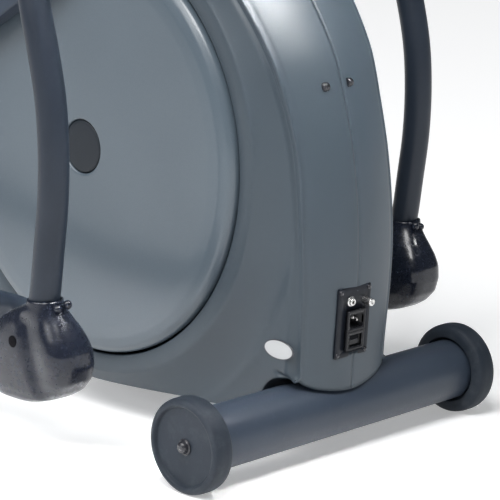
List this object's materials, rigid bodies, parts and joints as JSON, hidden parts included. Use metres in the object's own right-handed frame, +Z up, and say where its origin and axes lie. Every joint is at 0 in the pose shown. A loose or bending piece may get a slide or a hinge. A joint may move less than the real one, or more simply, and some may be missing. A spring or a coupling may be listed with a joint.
{
  "type": "elliptical trainer",
  "caption": "Front-drive elliptical exercise trainer: casing with crank discs, roller arms on rails, foot pedals, swinging hand bars, console and transport wheels.",
  "frame": {"origin": "centre of the bounding box in plan, on the floor plane", "axes": "+X forwards, the way the user faces and where the casing and transport wheels are, +Y to the user's left, +Z up"},
  "size_m": [1.6524, 0.69, 1.4943],
  "materials": {
    "frame_paint": "satin dark blue-grey powder coat",
    "casing_plastic": "satin blue-grey moulded plastic",
    "disc_plastic": "satin blue-grey moulded plastic with a soft sheen",
    "gloss_black": "glossy black moulded plastic",
    "matt_black": "fine-grained black plastic",
    "rubber": "dark grey rubber and hard polymer",
    "steel": "zinc-plated steel",
    "iron": "turned cast iron",
    "silver": "silver-plated plastic and foil",
    "screen": "dark display window",
    "board": "green circuit board"
  },
  "bodies": {
    "frame": {"front_stabilizer": "frame_paint", "rear_stabilizer": "frame_paint", "main_beam": "frame_paint", "right_rail": "steel", "left_rail": "steel", "right_rear_foot": "rubber", "left_rear_foot": "rubber", "right_wheel_bolt": "steel", "left_wheel_bolt": "steel", "mast": "frame_paint", "swing_axle": "steel", "crank_support": "frame_paint", "right_crank_bearing": "steel", "left_crank_bearing": "steel", "drive_belt": "rubber", "flywheel_bracket": "frame_paint", "brake_magnet": "matt_black", "right_casing": "casing_plastic", "left_casing": "casing_plastic", "badge_plate": "silver", "power_panel": "matt_black", "power_inlet": "matt_black", "antenna_connector": "steel", "control_board": "board", "fixed_handlebar": "frame_paint", "right_pulse_grip": "silver", "left_pulse_grip": "silver", "console_body": "matt_black", "console_screen": "screen"},
    "crank": {"crank_axle": "steel", "drive_pulley": "matt_black", "right_crank_arm": "steel", "left_crank_arm": "steel", "right_crank_disc": "disc_plastic", "left_crank_disc": "disc_plastic", "right_disc_cap": "disc_plastic", "left_disc_cap": "disc_plastic"},
    "flywheel_rotor": {"flywheel": "iron"},
    "idler": {"idler_pulley": "steel"},
    "right_wheel": {"right_transport_wheel": "rubber"},
    "left_wheel": {"left_transport_wheel": "rubber"},
    "right_swing_bar": {"right_swing_arm": "frame_paint", "right_hand_grip": "rubber", "right_boot": "gloss_black"},
    "left_swing_bar": {"left_swing_arm": "frame_paint", "left_hand_grip": "rubber", "left_boot": "gloss_black"},
    "right_carriage": {"right_roller_axle": "steel"},
    "left_carriage": {"left_roller_axle": "steel"},
    "right_rolling_wheel": {"right_roller": "rubber"},
    "left_rolling_wheel": {"left_roller": "rubber"},
    "right_lever": {"right_roller_arm": "frame_paint"},
    "left_lever": {"left_roller_arm": "frame_paint"},
    "right_foot": {"right_foot_link": "frame_paint", "right_pedal": "matt_black"},
    "left_foot": {"left_foot_link": "frame_paint", "left_pedal": "matt_black"},
    "rocker": {"power_switch": "gloss_black"},
    "start_key": {"start_button": "silver"},
    "stop_key": {"stop_button": "silver"}
  },
  "joints": [
    {"name": "crank_spin", "type": "hinge", "parent": "frame", "child": "crank", "pos_m": [0.44935, 0, 0.3494], "axis": [0, 1, 0], "continuous": true},
    {"name": "flywheel_spin", "type": "hinge", "parent": "frame", "child": "flywheel_rotor", "pos_m": [0.66885, 0, 0.208], "axis": [0, 1, 0], "continuous": true},
    {"name": "idler_spin", "type": "hinge", "parent": "frame", "child": "idler", "pos_m": [0.63085, 0, 0.334], "axis": [0, 1, 0], "continuous": true},
    {"name": "right_wheel_spin", "type": "hinge", "parent": "frame", "child": "right_wheel", "pos_m": [0.76885, 0, 0.0573], "axis": [0, 1, 0], "continuous": true},
    {"name": "left_wheel_spin", "type": "hinge", "parent": "frame", "child": "left_wheel", "pos_m": [0.76885, 0, 0.0573], "axis": [0, 1, 0], "continuous": true},
    {"name": "right_swing", "type": "hinge", "parent": "frame", "child": "right_swing_bar", "pos_m": [0.5659, 0, 1], "axis": [0, -1, 0], "range_deg": [-15.47, 15.47]},
    {"name": "left_swing", "type": "hinge", "parent": "frame", "child": "left_swing_bar", "pos_m": [0.5659, 0, 1], "axis": [0, -1, 0], "range_deg": [-15.47, 15.47]},
    {"name": "right_roller_slide", "type": "slide", "parent": "frame", "child": "right_carriage", "axis": [1, 0, 0], "range_m": [-0.2258, 0.2258]},
    {"name": "left_roller_slide", "type": "slide", "parent": "frame", "child": "left_carriage", "axis": [1, 0, 0], "range_m": [-0.2258, 0.2258]},
    {"name": "right_roller_spin", "type": "hinge", "parent": "right_carriage", "child": "right_rolling_wheel", "pos_m": [-0.42919, 0, 0.1153], "axis": [0, 1, 0], "range_deg": [-370, 370]},
    {"name": "left_roller_spin", "type": "hinge", "parent": "left_carriage", "child": "left_rolling_wheel", "pos_m": [-0.47654, 0, 0.1153], "axis": [0, 1, 0], "range_deg": [-370, 370]},
    {"name": "right_arm_tilt", "type": "hinge", "parent": "right_carriage", "child": "right_lever", "pos_m": [-0.42919, 0, 0.1153], "axis": [0, 1, 0], "range_deg": [0, 27.69]},
    {"name": "left_arm_tilt", "type": "hinge", "parent": "left_carriage", "child": "left_lever", "pos_m": [-0.47654, 0, 0.1153], "axis": [0, 1, 0], "range_deg": [-27.7, 0]},
    {"name": "right_pedal_hinge", "type": "hinge", "parent": "right_lever", "child": "right_foot", "pos_m": [-0.13362, 0, 0.27508], "axis": [0, 1, 0], "range_deg": [-39.95, 0]},
    {"name": "left_pedal_hinge", "type": "hinge", "parent": "left_lever", "child": "left_foot", "pos_m": [-0.14057, 0, 0.11939], "axis": [0, 1, 0], "range_deg": [0, 39.95]},
    {"name": "switch_rock", "type": "hinge", "parent": "frame", "child": "rocker", "pos_m": [0.80368, -0.0015, 0.14602], "axis": [0, 1, 0], "range_deg": [0, 16]},
    {"name": "start_press", "type": "slide", "parent": "frame", "child": "start_key", "axis": [0.8776, 0, -0.4794], "range_m": [0, 0.0015], "stiffness_N_per_m": 400},
    {"name": "stop_press", "type": "slide", "parent": "frame", "child": "stop_key", "axis": [0.8776, 0, -0.4794], "range_m": [0, 0.0015], "stiffness_N_per_m": 400}
  ],
  "couplings": [
    {"joint": "flywheel_spin", "follows": "crank_spin", "ratio": 6},
    {"joint": "idler_spin", "follows": "crank_spin", "ratio": 7.5},
    {"joint": "left_swing", "follows": "right_swing", "ratio": -1},
    {"joint": "right_roller_slide", "follows": "right_swing", "m_per_rad": 0.835},
    {"joint": "left_roller_slide", "follows": "right_swing", "m_per_rad": -0.835},
    {"joint": "right_roller_spin", "follows": "right_swing", "ratio": 23.857},
    {"joint": "left_roller_spin", "follows": "right_swing", "ratio": -23.857},
    {"joint": "left_arm_tilt", "follows": "right_arm_tilt", "ratio": -1},
    {"joint": "right_pedal_hinge", "follows": "right_arm_tilt", "ratio": -1.442},
    {"joint": "left_pedal_hinge", "follows": "right_arm_tilt", "ratio": 1.442}
  ]
}
